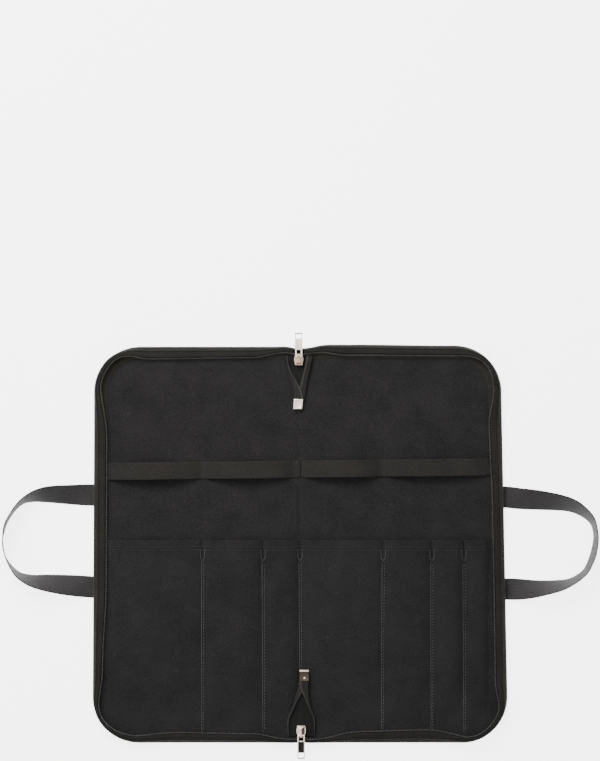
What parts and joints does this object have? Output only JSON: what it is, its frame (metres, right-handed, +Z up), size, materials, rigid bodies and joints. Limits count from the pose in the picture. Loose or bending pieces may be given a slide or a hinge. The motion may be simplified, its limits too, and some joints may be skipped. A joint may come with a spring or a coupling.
{
  "type": "zipped canvas chef knife roll, lying open",
  "caption": "Soft canvas roll that zips round three sides, lying open and flat, with sewn pockets, elastics to hold handles, and webbing carry handles.",
  "frame": {"origin": "on the resting surface, under the middle of the whole object", "axes": "+X along the two handles, +Y along the fold towards the end with the elastics, +Z up from the open inside"},
  "size_m": [0.6855, 0.4884, 0.025],
  "materials": {
    "canvas": "matte black cotton canvas in a fine plain weave",
    "lining": "matte black cotton canvas in a fine plain weave, with lint",
    "binding": "matte black woven binding tape with fine lengthwise ribs",
    "zip_tape": "black woven zip tape with fine ribs and a slight sheen",
    "zip_coil": "black nylon coil, satin",
    "elastic": "matte black woven elastic with lengthwise cords",
    "webbing": "black ribbed webbing with a slight sheen",
    "nickel": "satin nickel plate"
  },
  "bodies": {
    "roll": {"outer_panel": "canvas", "lining_panel": "lining", "edge_binding": "binding", "zip_tape_left": "zip_tape", "zip_tape_right": "zip_tape", "zip_chain_left": "zip_coil", "zip_chain_right": "zip_coil", "zip_slider_top": "nickel", "zip_slider_bottom": "nickel", "zip_tail_top": "zip_tape", "zip_tail_bottom": "zip_tape", "tail_clip_top": "nickel", "tail_clip_bottom": "nickel", "pocket_panel": "lining", "elastic_left": "elastic", "elastic_right": "elastic", "handle_left": "webbing", "handle_right": "webbing"},
    "top_pull": {"slider_pull_top": "nickel"},
    "bottom_pull": {"slider_pull_bottom": "nickel"}
  },
  "joints": [
    {"name": "top_pull_hinge", "type": "hinge", "parent": "roll", "child": "top_pull", "pos_m": [-0.0003, 0.21755, 0.0138], "axis": [1, 0, 0], "range_deg": [0, 170]},
    {"name": "bottom_pull_hinge", "type": "hinge", "parent": "roll", "child": "bottom_pull", "pos_m": [0.0025, -0.21755, 0.0138], "axis": [-1, 0, 0], "range_deg": [0, 170]}
  ]
}
